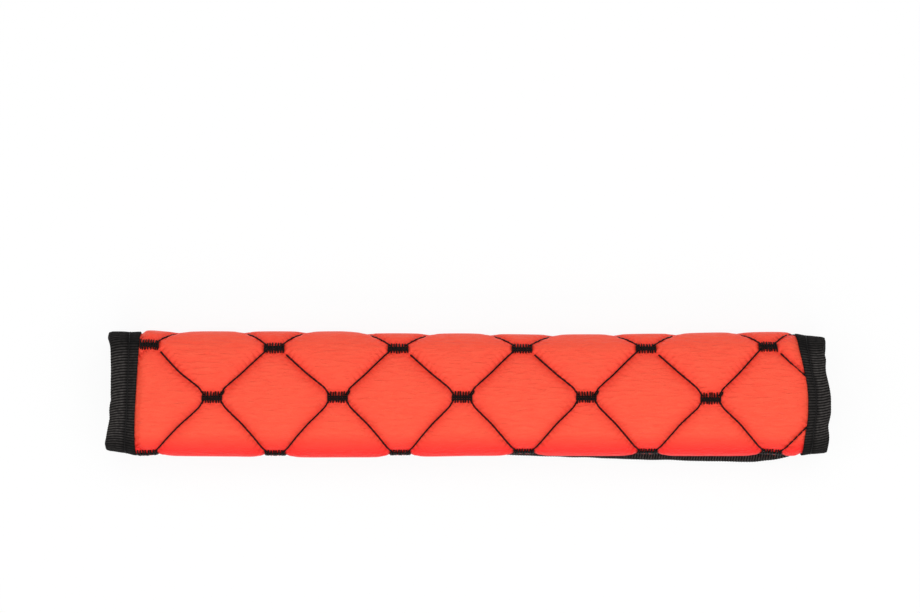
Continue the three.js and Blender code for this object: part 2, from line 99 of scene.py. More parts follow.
def sums(tree, operation, *values):
    return node(tree, "ShaderNodeMath", dict(enumerate(values)), operation=operation).outputs[0]


def start_nodes(owner):
    owner.use_nodes = True
    owner.node_tree.nodes.clear()
    return owner.node_tree


def new_material(name):
    material = bpy.data.materials.new(name)
    return material, start_nodes(material)

# %% Floor and world
SHADOW_SEEN = 0.10  # the share of the floor's own grey in what the camera sees
WORLD_LIGHT = 0.53


def floor_material():
    material, m = new_material("floor_paper")
    path = node(m, "ShaderNodeLightPath")
    to_camera = sums(m, "MULTIPLY", path.outputs["Is Camera Ray"], 1.0 - SHADOW_SEEN)
    seen = sums(m, "MAXIMUM", path.outputs["Is Glossy Ray"], to_camera)
    grey = node(m, "ShaderNodeBsdfDiffuse", {"Color": (0.9, 0.9, 0.9, 1)})
    white = node(m, "ShaderNodeEmission", {"Color": (1, 1, 1, 1), "Strength": 1.0})
    mix = node(m, "ShaderNodeMixShader", {0: seen, 1: grey, 2: white})
    node(m, "ShaderNodeOutputMaterial", {0: mix})
    return material


def add_floor():
    bm = bmesh.new()
    bmesh.ops.create_grid(bm, x_segments=1, y_segments=1, size=4.0)
    mesh = bpy.data.meshes.new("floor")
    bm.to_mesh(mesh)
    bm.free()
    floor = bpy.data.objects.new("floor", mesh)
    mesh.materials.append(floor_material())
    bpy.context.scene.collection.objects.link(floor)


def add_world():
    world = bpy.data.worlds.new("studio")
    bpy.context.scene.world = world
    w = start_nodes(world)
    path = node(w, "ShaderNodeLightPath")
    soft = node(w, "ShaderNodeBackground", {"Color": (1, 1, 1, 1), "Strength": WORLD_LIGHT})
    white = node(w, "ShaderNodeBackground", {"Strength": 1.0})
    mix = node(w, "ShaderNodeMixShader", {0: path.outputs["Is Camera Ray"], 1: soft, 2: white})
    node(w, "ShaderNodeOutputWorld", {0: mix})


def add_lamp(name, place, size, power):
    data = bpy.data.lights.new(name, "AREA")
    data.shape = "RECTANGLE"
    data.size, data.size_y = size
    data.energy = power
    lamp = bpy.data.objects.new(name, data)
    lamp.location = place
    lamp.rotation_euler = (-Vector(place)).to_track_quat("-Z", "Y").to_euler()
    bpy.context.scene.collection.objects.link(lamp)


add_floor()
add_world()
add_lamp("lamp_above_back", (0.1, 0.55, 0.9), (1.2, 0.6), 3.9)
add_lamp("lamp_left", (-0.9, -0.1, 0.8), (0.7, 0.7), 2.8)
add_lamp("lamp_right", (0.9, -0.2, 0.8), (0.7, 0.7), 2.5)
add_lamp("lamp_front", (0.0, -0.85, 0.6), (1.4, 0.4), 4.0)
print("lamps: 4")

# %% [markdown]
# ## The flat sheet and how it wraps
#
# A flat point has three numbers. x runs along the belt, s runs across the sheet and t is the height above
# the lining's inner face. One function turns them into a place on the sleeve. Its section is a chain of
# arcs: the tight fold, the crowned roof and the round fold, with a straight flap at each end.
# All sizes here are millimetres, and the function gives metres.

# %% Sizes of the sheet
LENGTH = 341.0
FOLD_FRONT_Y = -27.8
FOLD_BACK_Y = 30.8
FLAP_EDGE_Y = -27.6
FLAP_SKEW = 0.0225
CORNER_RADIUS = 26.0
CLEARANCE = 0.3
LINING = 0.6
FOAM = 1.2
SKIN_STITCHED = 0.9
FOLD_PUFF = 1.7
FLOOR_PUFF = 1.3
PASSAGE_HEIGHT = 8.0
CROWN_RADIUS = 60.0
PITCH = 58.2
FRONT_ROW_STEP = 26.8
BACK_ROW_STEP = 23.5
FIRST_TACK_X = -3.3
MID_ROW_Y = 0.15
TACK_LENGTH = 9.0
TACK_WIDTH = 4.4
TAPE_WIDTH = 13.0
TAPE_THICKNESS = 0.8
STRIPS_STACK = 2.8
STRIP_WIDTH = 16.0
STRIP_MARGIN = 1.0

SKIN_T = LINING + CLEARANCE + FOAM + CLEARANCE
STITCHED_T = SKIN_T + SKIN_STITCHED
FLOOR_T = STITCHED_T + FLOOR_PUFF
FOLD_T = STITCHED_T + FOLD_PUFF
OUTER_FLAP_Z = FLOOR_T
INNER_FLAP_Z = OUTER_FLAP_Z + STRIPS_STACK + STITCHED_T
EDGE_INSET = TAPE_THICKNESS + CLEARANCE
INNER_FLAP_Y = FLAP_EDGE_Y + 2 * (EDGE_INSET + TAPE_WIDTH + STRIP_MARGIN) + STRIP_WIDTH

# %% The section's arcs
def make_section():
    tight_radius = PASSAGE_HEIGHT / 2
    tight = (tight_radius, FOLD_FRONT_Y + FOLD_T + tight_radius, INNER_FLAP_Z + tight_radius)
    round_radius = (INNER_FLAP_Z + PASSAGE_HEIGHT - OUTER_FLAP_Z) / 2
    back = (round_radius, FOLD_BACK_Y - FOLD_T - round_radius, OUTER_FLAP_Z + round_radius)
    to_tight, to_back = CROWN_RADIUS - tight[0], CROWN_RADIUS - back[0]
    dy, dz = back[1] - tight[1], back[2] - tight[2]
    span = math.hypot(dy, dz)
    along = (span**2 + to_tight**2 - to_back**2) / (2 * span)
    down = math.sqrt(to_tight**2 - along**2)
    crown_y = tight[1] + (dy * along + dz * down) / span
    crown_z = tight[2] + (dz * along - dy * down) / span
    start = math.atan2(tight[2] - crown_z, tight[1] - crown_y)
    end = math.atan2(back[2] - crown_z, back[1] - crown_y)
    turns = [
        (*tight, 1.5 * math.pi, start),
        (CROWN_RADIUS, crown_y, crown_z, start, end),
        (*back, end, -0.5 * math.pi),
    ]
    mid = math.acos((MID_ROW_Y - crown_y) / (CROWN_RADIUS + STITCHED_T))
    s = -(CROWN_RADIUS + STITCHED_T) * (start - mid)
    s -= (tight[0] + STITCHED_T) * (1.5 * math.pi - start)
    arcs = []
    for radius, y, z, first, last in turns:
        run = (radius + STITCHED_T) * (first - last)
        arcs.append(dict(radius=radius, y=y, z=z, first=first, start=s, end=s + run))
        s += run
    return arcs


TIGHT, CROWN, ROUND = make_section()
INNER_EDGE_S = TIGHT["start"] - (INNER_FLAP_Y - EDGE_INSET - TIGHT["y"])
OUTER_EDGE_S = ROUND["end"] + (ROUND["y"] - FLAP_EDGE_Y - EDGE_INSET)
HALF_LENGTH = LENGTH / 2 - EDGE_INSET
print("sheet across:", round(OUTER_EDGE_S - INNER_EDGE_S, 1), "mm, along:", 2 * HALF_LENGTH, "mm")

# %% [markdown]
# The real sleeve's ends aren't straight. Its tape was sewn on a little tight, so it pulls the middle of each
# end inwards and leaves an ear at each fold, and handling has bent the rest. We read a few places along
# each end from the photograph, in millimetres to the right of a straight end, and shift every layer alike.
# The two folds aren't quite straight either: the ends are crushed, the back fold is pressed in past the
# middle, and the front fold bulges a little on the left.
#
# A ramp fades each bend in smoothly from one place to another.

# %% How the ends are bent
END_S = [-60, -40, -26, -20, -14, -8, 0, 7, 14, 20, 24, 33, 45, 70]
LEFT_EDGE = [0, 0.4, -0.8, 0.2, 1.2, 2.3, 2.6, 2.5, 2.5, 2.3, 2.0, 0.2, 0.3, 0]
LEFT_TAPE = [0, 0, -0.3, -0.4, -0.3, 0.0, 0.5, 0.9, 1.2, 1.5, 1.6, 1.7, 0.6, 0]
RIGHT_EDGE = [0, -1.0, -1.4, -1.0, -1.7, -0.6, -0.6, -1.8, -3.0, -2.6, -3.8, -2.2, -1.0, 0]
RIGHT_TAPE = [0, 0, 0.4, 0.9, 1.7, 2.3, 2.3, 1.6, 0.3, -0.8, -1.6, -2.6, -0.8, 0]
END_FADE = 26.0
BLUR_STEP, BLUR_WIDTH = 0.5, 13


def ramp(v, start, end):
    v = np.clip((v - start) / (end - start), 0, 1)
    return v * v * (3 - 2 * v)


def softened(values):
    fine = np.arange(-90.0, 110.0, BLUR_STEP)
    blur = np.hanning(BLUR_WIDTH)
    return fine, np.convolve(np.interp(fine, END_S, values), blur / blur.sum(), mode="same")


SOFT_EDGES = {
    -1: (softened(LEFT_EDGE), softened(LEFT_TAPE)),
    1: (softened(RIGHT_EDGE), softened(RIGHT_TAPE)),
}


def end_sway(x, s):
    shift = np.zeros_like(s)
    for side, (edge, tape_side) in SOFT_EDGES.items():
        past_tape = side * x - (HALF_LENGTH - TAPE_WIDTH)
        at_edge, at_tape = np.interp(s, *edge), np.interp(s, *tape_side)
        share = np.clip(past_tape / TAPE_WIDTH, 0, 1.1)
        shift += ramp(past_tape, -END_FADE, 0) * (at_tape + (at_edge - at_tape) * share)
    return shift


def end_crush(x, y):
    front, back = ramp(y, 0, -26), ramp(y, 0, 28)
    near_left, near_right = ramp(x, -142, -154), ramp(x, 138, 150)
    left, right = ramp(x, -154, -170), ramp(x, 154, 170)
    beside_tape = near_left * (0.6 * back - 0.8 * front) - near_right * 0.7 * front
    at_end = left * (2.4 * front + 0.1 * back) + right * (1.2 * front - 1.7 * back)
    return beside_tape + at_end

# %% How the two folds are bent
FOLD_X = [-150, -110, -92, -60, -42, -20, 0, 30, 60, 90, 120, 150]
FRONT_OUT = [0, 0.3, 0.8, 0.7, 0.7, 0.4, 0, 0, 0, 0, 0, 0]
BACK_IN = [0, 0, 0, 0, 0.9, 1.0, 1.0, 1.5, 1.4, 1.1, 0.5, 0.2]


def fold_bend(x, y):
    front, back = ramp(y, -18, -26), ramp(y, 22, 30)
    return -front * np.interp(x, FOLD_X, FRONT_OUT) - back * np.interp(x, FOLD_X, BACK_IN)

# %% Wrap flat points
FLAP_OUT = 0.7  # how far the flap's edge comes out along the right half, past its skew
CORNER_TUCK = 2.2  # how far the flap's right corner lies further in


def wrap(x, s, t):
    x, s, t = np.broadcast_arrays(np.asarray(x, float), np.asarray(s, float), np.asarray(t, float))
    y, z = np.empty_like(s), np.empty_like(s)
    inner = s < TIGHT["start"]
    y[inner] = TIGHT["y"] + TIGHT["start"] - s[inner]
    z[inner] = INNER_FLAP_Z - t[inner]
    outer = s > ROUND["end"]
    out = s[outer] - ROUND["end"]
    skew = FLAP_SKEW * x[outer] + FLAP_OUT * ramp(x[outer], 20, 80)
    skew -= CORNER_TUCK * ramp(x[outer], 134.5, 150.5)
    y[outer] = ROUND["y"] - out - skew * out / (OUTER_EDGE_S - ROUND["end"])
    z[outer] = OUTER_FLAP_Z - t[outer]
    for arc in (TIGHT, CROWN, ROUND):
        on = (s >= arc["start"]) & (s <= arc["end"])
        angle = arc["first"] - (s[on] - arc["start"]) / (arc["radius"] + STITCHED_T)
        reach = arc["radius"] + t[on]
        y[on] = arc["y"] + reach * np.cos(angle)
        z[on] = arc["z"] + reach * np.sin(angle)
    return np.stack([x + end_sway(x, s), y + end_crush(x, y) + fold_bend(x, y), z], axis=-1) * MM


print("middle tack lies at:", wrap(FIRST_TACK_X, 0.0, STITCHED_T).round(4))

# %% Mesh helpers
def make_object(name, points, faces, material, uv=None):
    mesh = bpy.data.meshes.new(name)
    mesh.from_pydata([tuple(p) for p in points], [], faces)
    mesh.materials.append(material)
    if uv is not None:
        corner_vertex = np.empty(len(mesh.loops), np.int32)
        mesh.loops.foreach_get("vertex_index", corner_vertex)
        layer = mesh.uv_layers.new(name="flat")
        layer.data.foreach_set("uv", np.asarray(uv, np.float32)[corner_vertex].ravel())
    mesh.polygons.foreach_set("use_smooth", [True] * len(mesh.polygons))
    mesh.update()
    obj = bpy.data.objects.new(name, mesh)
    bpy.context.scene.collection.objects.link(obj)
    return obj


def finish_piece(obj, slot, *nodes):
    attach(obj, "root")
    if nodes:
        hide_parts(*nodes)
    print(obj.name, "faces:", len(obj.data.polygons))
    return obj

# %% [markdown]
# ## Faux leather
#
# The red cover is a coated cloth with a fine pressed grain: small rounded cells, and faint wrinkles that run
# along the belt. Both read the flat UV map, in millimetres, so the grain goes round the folds with the sheet.
# The leather puckers between the holes of the seams. The nodes fold the flat map so that every stitch line
# falls on one line, and measure the distance along it and across it: a sine along it makes the puckers.
# Beside the seams and round the tight fold the red is painted deeper: this is painted shade, where the
# leather turns away from the light.

# %% Helpers for every finish
def noise(m, place, scale, detail, output="Fac", **inputs):
    given = {"Vector": place, "Scale": scale, "Detail": detail, **inputs}
    return node(m, "ShaderNodeTexNoise", given).outputs[output]


def bands(m, place, scale, distortion, direction):
    given = {"Vector": place, "Scale": scale, "Distortion": distortion}
    return node(m, "ShaderNodeTexWave", given, bands_direction=direction).outputs["Fac"]


def blend(m, share, low, high, how="MIX"):
    return node(m, "ShaderNodeMixRGB", {"Fac": share, "Color1": low, "Color2": high}, blend_type=how)


def surface(m, colour, height, strength, distance, inputs):
    bump = node(m, "ShaderNodeBump", {"Height": height, "Strength": strength, "Distance": distance})
    shader = node(m, "ShaderNodeBsdfPrincipled", {"Base Color": colour, "Normal": bump, **inputs})
    node(m, "ShaderNodeOutputMaterial", {0: shader})

# %% Where a flat point lies from its stitch line, in nodes
STITCH = 2.6


def stitch_line_nodes(m, flat):
    split = node(m, "ShaderNodeSeparateXYZ", {0: flat})
    x, s = split.outputs["X"], split.outputs["Y"]
    front = sums(m, "LESS_THAN", s, 0.0)
    half = PITCH / 2
    steps = FRONT_ROW_STEP, BACK_ROW_STEP
    slopes = [math.atan2(step - TACK_WIDTH, half - TACK_LENGTH) for step in steps]
    step, cos, sin = [sums(m, "MULTIPLY_ADD", front, in_front - behind, behind)
                      for in_front, behind in (steps, map(math.cos, slopes), map(math.sin, slopes))]
    from_tack = sums(m, "PINGPONG", sums(m, "SUBTRACT", x, FIRST_TACK_X), half)
    a = sums(m, "SUBTRACT", from_tack, TACK_LENGTH / 2)
    b = sums(m, "SUBTRACT", sums(m, "PINGPONG", s, step), TACK_WIDTH / 2)
    along = sums(m, "ADD", sums(m, "MULTIPLY", a, cos), sums(m, "MULTIPLY", b, sin))
    across = sums(m, "SUBTRACT", sums(m, "MULTIPLY", a, sin), sums(m, "MULTIPLY", b, cos))
    return along, sums(m, "ABSOLUTE", across), s

# %% Red faux leather
def red_leather():
    material, m = new_material("red_faux_leather")
    flat = node(m, "ShaderNodeUVMap", uv_map="flat")
    along, across, s = stitch_line_nodes(m, flat)
    wobbled = blend(m, 0.35, flat, noise(m, flat, 0.9, 3.0, "Color"), "ADD")
    cells = node(m, "ShaderNodeTexVoronoi", {"Vector": wobbled, "Scale": 1.5}, feature="DISTANCE_TO_EDGE")
    grain = node(m, "ShaderNodeMapRange", {"Value": cells.outputs["Distance"], "From Max": 0.22})
    fine, broad = noise(m, flat, 4.5, 5.0, Roughness=0.6), noise(m, flat, 0.05, 2.0)
    stretched = node(m, "ShaderNodeMapping", {"Vector": flat, "Scale": (0.16, 0.75, 1.0)})
    wrinkles = noise(m, stretched, 1.0, 4.0, Distortion=0.6)

    # Relief in millimetres
    phase = sums(m, "MULTIPLY", along, 2 * math.pi / STITCH)
    wave = sums(m, "SINE", sums(m, "MULTIPLY_ADD", broad, 9.0, phase))
    near = sums(m, "EXPONENT", sums(m, "MULTIPLY", across, -0.4))
    strength = sums(m, "MULTIPLY", near, sums(m, "MULTIPLY", wrinkles, 0.85))
    height = sums(m, "MULTIPLY", wave, strength)
    for relief, depth in ((grain, 0.03), (fine, 0.05), (wrinkles, 0.95)):
        height = sums(m, "MULTIPLY_ADD", relief, depth, height)

    tone = blend(m, wrinkles, (0.94, 0.060, 0.025, 1), (0.97, 0.116, 0.052, 1))
    # Painted shade: the red turns deeper beside the stitches and round the tight fold, where the leather
    # faces away from the light.
    seam_shade = node(m, "ShaderNodeAttribute", attribute_name="seam_shade").outputs["Fac"]
    fold = node(m, "ShaderNodeMapRange", {"Value": s, "From Min": -16.0, "From Max": -24.0})
    painted_shade_share = sums(m, "MAXIMUM", sums(m, "MULTIPLY", seam_shade, 0.6), fold)
    shaded_red = blend(m, painted_shade_share, tone, (0.96, 0.009, 0.007, 1))
    creased = blend(m, sums(m, "MULTIPLY_ADD", grain, -0.28, 0.28), shaded_red, (0.82, 0.044, 0.022, 1))
    rough = node(m, "ShaderNodeMapRange", {"Value": fine, "To Min": 0.42, "To Max": 0.62})
    surface(m, creased, height, 1.0, MM, {"Roughness": rough, "Specular IOR Level": 0.3})
    return material


RED = red_leather()
print("material:", RED.name)

# %% [markdown]
# ## The quilted cover
#
# The cover is sewn down along zigzag lines that meet at short bar tacks, and foam lifts it between them.
# We lay a flat grid whose lines run through every tack and whose diagonals are the stitch lines. The cloth
# simulation then does what the foam does: the sewn points are pinned, pressure lifts the rest, and the
# leather wrinkles a little where the stitches hold it. The flat result is scaled to the room that each
# part of the sleeve leaves: free on the roof, stretched over the folds, and pressed flat underneath.

# %% Lines of the flat grid
FACETS_ON_RUN = 16
FACETS_ON_TACK_LENGTH = 7
FACETS_ON_TACK_WIDTH = 4
NARROWEST = 0.3  # no strip of faces at the sheet's edge is narrower


def grid_lines(low, high, first, step, tack, on_tack):
    lines = []
    for k in range(math.floor((low - first) / step) - 1, math.ceil((high - first) / step) + 2):
        centre = first + k * step
        lines += [centre - tack / 2 + tack * i / on_tack for i in range(on_tack)]
        lines += [centre + tack / 2 + (step - tack) * i / FACETS_ON_RUN for i in range(FACETS_ON_RUN)]
    lines = [v for v in lines if low + NARROWEST < v < high - NARROWEST]
    return np.array([low] + lines + [high])


XS = grid_lines(-HALF_LENGTH, HALF_LENGTH, FIRST_TACK_X, PITCH / 2, TACK_LENGTH, FACETS_ON_TACK_LENGTH)
FRONT_LINES = grid_lines(INNER_EDGE_S, 0.0, 0.0, FRONT_ROW_STEP, TACK_WIDTH, FACETS_ON_TACK_WIDTH)
BACK_LINES = grid_lines(0.0, OUTER_EDGE_S, 0.0, BACK_ROW_STEP, TACK_WIDTH, FACETS_ON_TACK_WIDTH)
SS = np.concatenate([FRONT_LINES, BACK_LINES[1:]])
GRID_X, GRID_S = np.meshgrid(XS, SS, indexing="ij")
print("flat grid:", GRID_X.shape)

# %% Distance from the stitches
def row_step(s):
    return np.where(np.asarray(s) < 0, FRONT_ROW_STEP, BACK_ROW_STEP)


def folded(value, step):
    return np.abs((value + step) % (2 * step) - step)


def inside_diamond(x, s):
    half = PITCH / 2
    a, b = folded(x - FIRST_TACK_X, half), folded(s, row_step(s))
    run_x, run_s = half - TACK_LENGTH, row_step(s) - TACK_WIDTH
    side = ((a - TACK_LENGTH / 2) * run_s - (b - TACK_WIDTH / 2) * run_x) / np.hypot(run_x, run_s)
    above = np.minimum(a - TACK_LENGTH / 2, row_step(s) - TACK_WIDTH / 2 - b)
    below = np.minimum(b - TACK_WIDTH / 2, half - TACK_LENGTH / 2 - a)
    to_tacks = np.where(side > 0, above, below)
    return np.maximum(0, np.minimum(np.abs(side), to_tacks))


def inside_outline(x, s, inset):
    to_end = HALF_LENGTH - inset - np.abs(x)
    to_side = np.minimum(s - INNER_EDGE_S, OUTER_EDGE_S - s) - inset
    radius = CORNER_RADIUS - inset
    out_x, out_s = radius - to_end, radius - to_side
    corner = np.where((out_x > 0) & (out_s > 0), radius - np.hypot(out_x, out_s), np.inf)
    return np.minimum(np.minimum(to_end, to_side), corner)


# How far the sewing lies off the even pattern in the photograph, along the belt and across the sheet
def sewing_drift(x, s):
    behind, far_left = ramp(s, 0, 20), ramp(x, -125, -143)
    front_row = ramp(s, -12, -26) * ramp(s, -46, -34)
    middle_row = 1 - ramp(np.abs(s), 0, 14)
    back_row = ramp(s, 6, 20) * ramp(s, 60, 40)
    along = -0.9 * behind - 1.8 * far_left - 0.3 * ramp(x, 118, 138) * behind
    along -= 0.6 * ramp(x, -70, -90) * (1 - behind)
    across = (1.4 * far_left + 0.8 * ramp(x, 125, 140)) * back_row - 1.1 * front_row
    across -= 0.6 * ramp(x, 95, 110) * middle_row
    across -= 1.4 * ramp(x, 146, 156) * ramp(s, 0, 6) * ramp(s, 24, 16)
    return along, across


ON_LINE = 0.05
SEWN = inside_diamond(GRID_X, GRID_S) < ON_LINE
UNDER_TAPE = inside_outline(GRID_X, GRID_S, TAPE_WIDTH + 0.2) < 0
print("pinned points:", int((SEWN | UNDER_TAPE).sum()), "of", SEWN.size)

# %% Faces of the flat grid, cut along the stitches
def grid_faces():
    count_x, count_s = GRID_X.shape
    number = np.arange(GRID_X.size).reshape(GRID_X.shape).tolist()
    mid_x, mid_s = (XS[1:] + XS[:-1]) / 2, (SS[1:] + SS[:-1]) / 2
    columns = np.floor((mid_x - FIRST_TACK_X) / (PITCH / 2)).astype(int)
    rows = np.floor(mid_s / row_step(mid_s)).astype(int)
    faces = []
    for i in range(count_x - 1):
        for j in range(count_s - 1):
            a, b = number[i][j], number[i + 1][j]
            c, d = number[i + 1][j + 1], number[i][j + 1]
            if (columns[i] + rows[j]) % 2 == 0:
                faces += [(a, b, c), (a, c, d)]
            else:
                faces += [(a, b, d), (b, c, d)]
    return faces


FACES = grid_faces()
print("flat triangles:", len(FACES))

# %% Let the foam lift the leather
PUFF_FRAMES = 22
PRESSURE = 2.0
STIFFNESS = 60
MODEL_SCALE = 0.1  # the solver's forces suit big meshes, so a millimetre of leather is 0.1 units in it


def lifted_sheet():
    points = np.stack([GRID_X, GRID_S, np.zeros_like(GRID_X)], axis=-1).reshape(-1, 3) * MODEL_SCALE
    obj = make_object("flat_leather", points, FACES, RED)
    pins = obj.vertex_groups.new(name="sewn")
    pins.add(np.flatnonzero((SEWN | UNDER_TAPE).ravel()).tolist(), 1.0, "REPLACE")
    cloth = obj.modifiers.new("cloth", "CLOTH")
    settings = cloth.settings
    settings.quality = 5
    settings.mass = 0.3
    settings.tension_stiffness = settings.compression_stiffness = STIFFNESS
    settings.shear_stiffness = STIFFNESS / 3
    settings.bending_stiffness = 1.0
    settings.use_pressure = True
    settings.uniform_pressure_force = PRESSURE
    settings.shrink_min = -0.02
    settings.vertex_group_mass = "sewn"
    settings.effector_weights.gravity = 0.0
    cloth.collision_settings.use_collision = False
    scene = bpy.context.scene
    scene.frame_start, scene.frame_end = 1, PUFF_FRAMES
    cloth.point_cache.frame_start, cloth.point_cache.frame_end = 1, PUFF_FRAMES
    for number in range(1, PUFF_FRAMES + 1):
        scene.frame_set(number)
    evaluated = obj.evaluated_get(bpy.context.evaluated_depsgraph_get())
    result = np.empty(len(evaluated.data.vertices) * 3)
    evaluated.data.vertices.foreach_get("co", result)
    bpy.data.objects.remove(obj)
    scene.frame_set(1)
    return result.reshape(*GRID_X.shape, 3) / MODEL_SCALE


LIFTED = lifted_sheet()
print("lift in mm:", LIFTED[..., 2].min().round(2), "to", LIFTED[..., 2].max().round(2))

# %% [markdown]
# The simulation's heights are turned to the heights of the real pad. A soft limit is the key: it leaves low
# points alone and bends high points under a ceiling, which is what a press or a table does to foam.

# %% Fit the lift to the sleeve
PUFF_RISE = 2.8
FULLNESS = 1.7  # the foam fills the diamonds right up to the stitches
FOLD_FULLNESS = 2.4
FOLD_GIVE = 0.08  # how much of its ceiling the leather may pass on the roof and folds
VALLEY = 1.6  # beside the stitches the leather first lies low
FROM_INNER_FLAP, TO_OUTER_FLAP = 7.3, 10.3  # how long the puff takes to change there
TAPE_SQUEEZE, TAPE_HOLD = 3.0, 9.0  # how far from the tape the puff is flat, and the sewing is true


def soft_limit(height, ceiling):
    ceiling = np.maximum(ceiling, 1e-6)
    return ceiling * np.tanh(height / ceiling)


def crown_share(s):
    return ramp(np.minimum(s - CROWN["start"], CROWN["end"] - s), -6, 6)


def puff_ceiling(s):
    free = FOLD_PUFF + (PUFF_RISE - FOLD_PUFF) * crown_share(s)
    free = free * ramp(s, TIGHT["start"], TIGHT["start"] + FROM_INNER_FLAP)
    above_floor = ramp(s, ROUND["end"], ROUND["end"] - TO_OUTER_FLAP)
    return np.minimum(free, FLOOR_PUFF + (free - FLOOR_PUFF) * above_floor)


def red_face():
    rise = LIFTED[..., 2] / np.percentile(LIFTED[..., 2], 98) * PUFF_RISE
    rise = rise * ramp(inside_diamond(GRID_X, GRID_S), 0, VALLEY)
    ceiling = puff_ceiling(GRID_S)
    spare = 1 + FOLD_GIVE * ramp(GRID_S, ROUND["end"], ROUND["end"] - 10)
    fullness = FULLNESS + (FOLD_FULLNESS - FULLNESS) * (1 - crown_share(GRID_S))
    puffed = soft_limit(rise * fullness, ceiling * spare)
    rise = np.where(GRID_S > ROUND["end"], np.minimum(rise, ceiling), puffed)
    from_tape = inside_outline(GRID_X, GRID_S, TAPE_WIDTH)
    height = STITCHED_T + np.maximum(rise, 0) * ramp(from_tape, 0, TAPE_SQUEEZE)
    drift_x, drift_s = sewing_drift(GRID_X, GRID_S)
    free = ramp(from_tape, 0, TAPE_HOLD)
    return LIFTED[..., 0] + drift_x * free, LIFTED[..., 1] + drift_s * free, height


FACE_X, FACE_S, FACE_T = red_face()
print("cover above its stitches:", round(float(FACE_T.max() - STITCHED_T), 2), "mm")

# %% Wrap the cover and close it
SEAM_SHADE_REACH = 2.6  # how far from the stitches painted shade deepens the red


def closed_sheet(name, upper, lower, faces, material, uv):
    used = sorted({v for face in faces for v in face})
    index = {v: i for i, v in enumerate(used)}
    count = len(used)
    top = [tuple(index[v] for v in face) for face in faces]
    under = [tuple(v + count for v in reversed(face)) for face in top]
    edges = {}
    for face in top:
        for a, b in zip(face, face[1:] + face[:1]):
            edges[(a, b)] = edges.get((a, b), 0) + 1
    wall = [(b, a, a + count, b + count) for a, b in edges if (b, a) not in edges]
    points = np.concatenate([upper.reshape(-1, 3)[used], lower.reshape(-1, 3)[used]])
    uvs = np.concatenate([uv.reshape(-1, 2)[used]] * 2)
    return make_object(name, points, top + under + wall, material, uvs)


def add_cover():
    inside = inside_outline(GRID_X, GRID_S, 0.0).ravel() >= -0.01
    faces = [face for face in FACES if all(inside[list(face)])]
    upper = wrap(FACE_X, FACE_S, FACE_T)
    lower = wrap(GRID_X, GRID_S, SKIN_T)
    uv = np.stack([GRID_X, GRID_S], axis=-1)
    cover = closed_sheet("red_quilted_cover", upper, lower, faces, RED, uv)
    # This attribute masks the painted shade beside the stitches.
    near = np.exp(-inside_diamond(GRID_X, GRID_S) / SEAM_SHADE_REACH).ravel()
    used = sorted({v for face in faces for v in face})
    layer = cover.data.attributes.new("seam_shade", "FLOAT", "POINT")
    layer.data.foreach_set("value", np.tile(near[used], 2).astype(np.float32))
    return cover


cover = add_cover()
finish_piece(cover, "red_cover", "quilted_cover", "foam_padding")

# %% [markdown]
# ## Thread
#
# All the sewing is black polyester thread, a little shiny and twisted from plies. The twist is a Wave texture
# across each stitch. Stitches repeat along paths, so Geometry Nodes make them: a tree resamples a path to one
# point for each stitch, lays a short bent piece of thread on it, and turns it to the path and to the leather.
# The path's points carry the leather's outward direction in an attribute, "up", that the tree reads.

# %% Black thread
def black_thread(name, shade, light):
    material, m = new_material(name)
    place = node(m, "ShaderNodeTexCoord").outputs["Object"]
    twist = bands(m, place, 900.0, 1.5, "DIAGONAL")
    fuzzy = sums(m, "MULTIPLY_ADD", noise(m, place, 2500.0, 3.0), 0.4, twist)
    tone = blend(m, twist, (*shade, 1), (*light, 1))
    surface(m, tone, fuzzy, 0.6, 0.1 * MM, {"Roughness": 0.5, "Specular IOR Level": 0.14})
    return material


THREAD = black_thread("quilting_thread", (0.002, 0.0006, 0.0006), (0.010, 0.0026, 0.0022))
TAPE_THREAD = black_thread("tape_thread", (0.003, 0.003, 0.003), (0.016, 0.015, 0.015))

# %% Trees and what they need
def start_tree(name, inputs):
    tree = bpy.data.node_groups.new(name, "GeometryNodeTree")
    tree.interface.new_socket("Geometry", in_out="INPUT", socket_type="NodeSocketGeometry")
    tree.interface.new_socket("Geometry", in_out="OUTPUT", socket_type="NodeSocketGeometry")
    for socket_name, kind in inputs:
        tree.interface.new_socket(socket_name, in_out="INPUT", socket_type=kind)
    return tree, node(tree, "NodeGroupInput").outputs


def thread_on(tree, given, curve, facets):
    ring = {"Resolution": facets, "Radius": given["Thread Radius"]}
    profile = node(tree, "GeometryNodeCurvePrimitiveCircle", ring)
    tube = {"Curve": curve, "Profile Curve": profile, "Fill Caps": True}
    return node(tree, "GeometryNodeCurveToMesh", tube)


def end_tree(tree, given, made):
    real = node(tree, "GeometryNodeRealizeInstances", {0: made})
    dressed = node(tree, "GeometryNodeSetMaterial", {"Geometry": real, "Material": given["Thread"]})
    node(tree, "NodeGroupOutput", {0: dressed})
    return tree


def grow(name, points, edges, tree, values, attributes=None):
    mesh = bpy.data.meshes.new(name)
    mesh.from_pydata([tuple(p) for p in points], edges, [])
    for key, rows in (attributes or {}).items():
        layer = mesh.attributes.new(key, "FLOAT_VECTOR", "POINT")
        layer.data.foreach_set("vector", np.asarray(rows, np.float32).ravel())
    source = bpy.data.objects.new(name + "_path", mesh)
    bpy.context.scene.collection.objects.link(source)
    modifier = source.modifiers.new("nodes", "NODES")
    modifier.node_group = tree
    for item in tree.interface.items_tree:
        if item.in_out == "INPUT" and item.name in values:
            modifier[item.identifier] = values[item.name]
    bpy.context.view_layer.update()
    depsgraph = bpy.context.evaluated_depsgraph_get()
    evaluated = source.evaluated_get(depsgraph)
    made = bpy.data.meshes.new_from_object(evaluated, preserve_all_data_layers=True, depsgraph=depsgraph)
    made.name = name
    bpy.data.objects.remove(source)
    obj = bpy.data.objects.new(name, made)
    bpy.context.scene.collection.objects.link(obj)
    made.polygons.foreach_set("use_smooth", [True] * len(made.polygons))
    return obj

